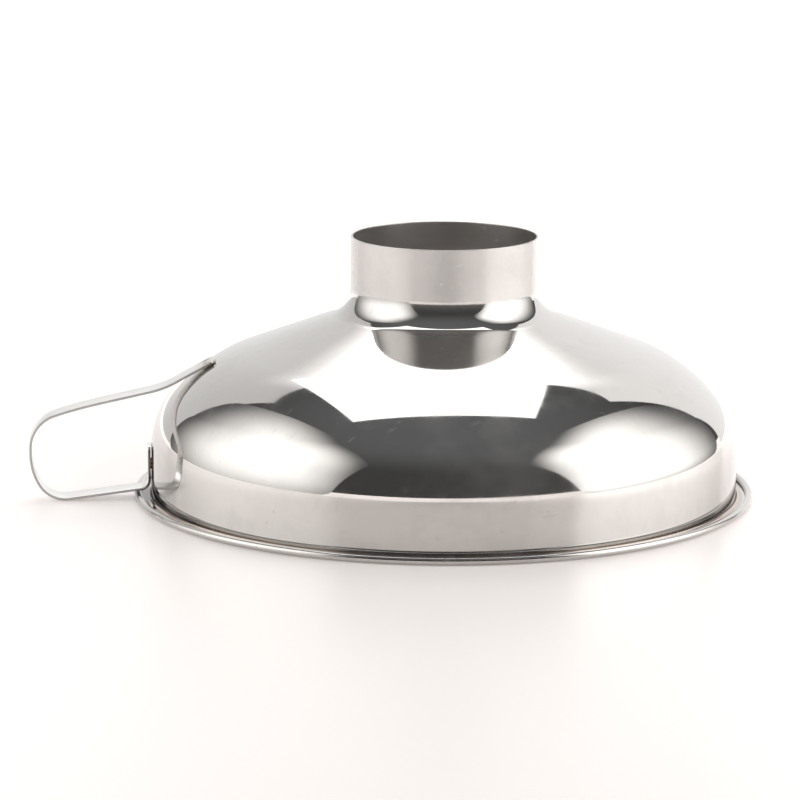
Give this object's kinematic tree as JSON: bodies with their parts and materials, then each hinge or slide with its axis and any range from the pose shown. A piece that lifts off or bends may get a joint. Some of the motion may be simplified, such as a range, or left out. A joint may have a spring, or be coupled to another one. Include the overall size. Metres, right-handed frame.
{
  "type": "canning funnel",
  "caption": "Wide-mouth stainless canning funnel: domed bowl with a rolled rim, a straight neck that enters a jar, and a welded strap loop handle.",
  "frame": {"origin": "on the funnel's axis, in the plane that the rolled mouth rim rests on", "axes": "+Z along the funnel's axis from the mouth to the neck; -X towards the handle's loop, which lies in the XZ plane; +Y completes the right-handed frame"},
  "size_m": [0.181, 0.155, 0.0653],
  "materials": {
    "polished_sheet": "mirror polished, with fine wipe marks",
    "strap_steel": "bright rolled, with sheared and rounded edges",
    "weld_metal": "resolidified, with a shallow electrode dimple"
  },
  "bodies": {
    "root": {"funnel_body": "polished_sheet", "handle_strap": "strap_steel", "upper_foot_welds": "weld_metal", "lower_foot_welds": "weld_metal"}
  },
  "joints": []
}
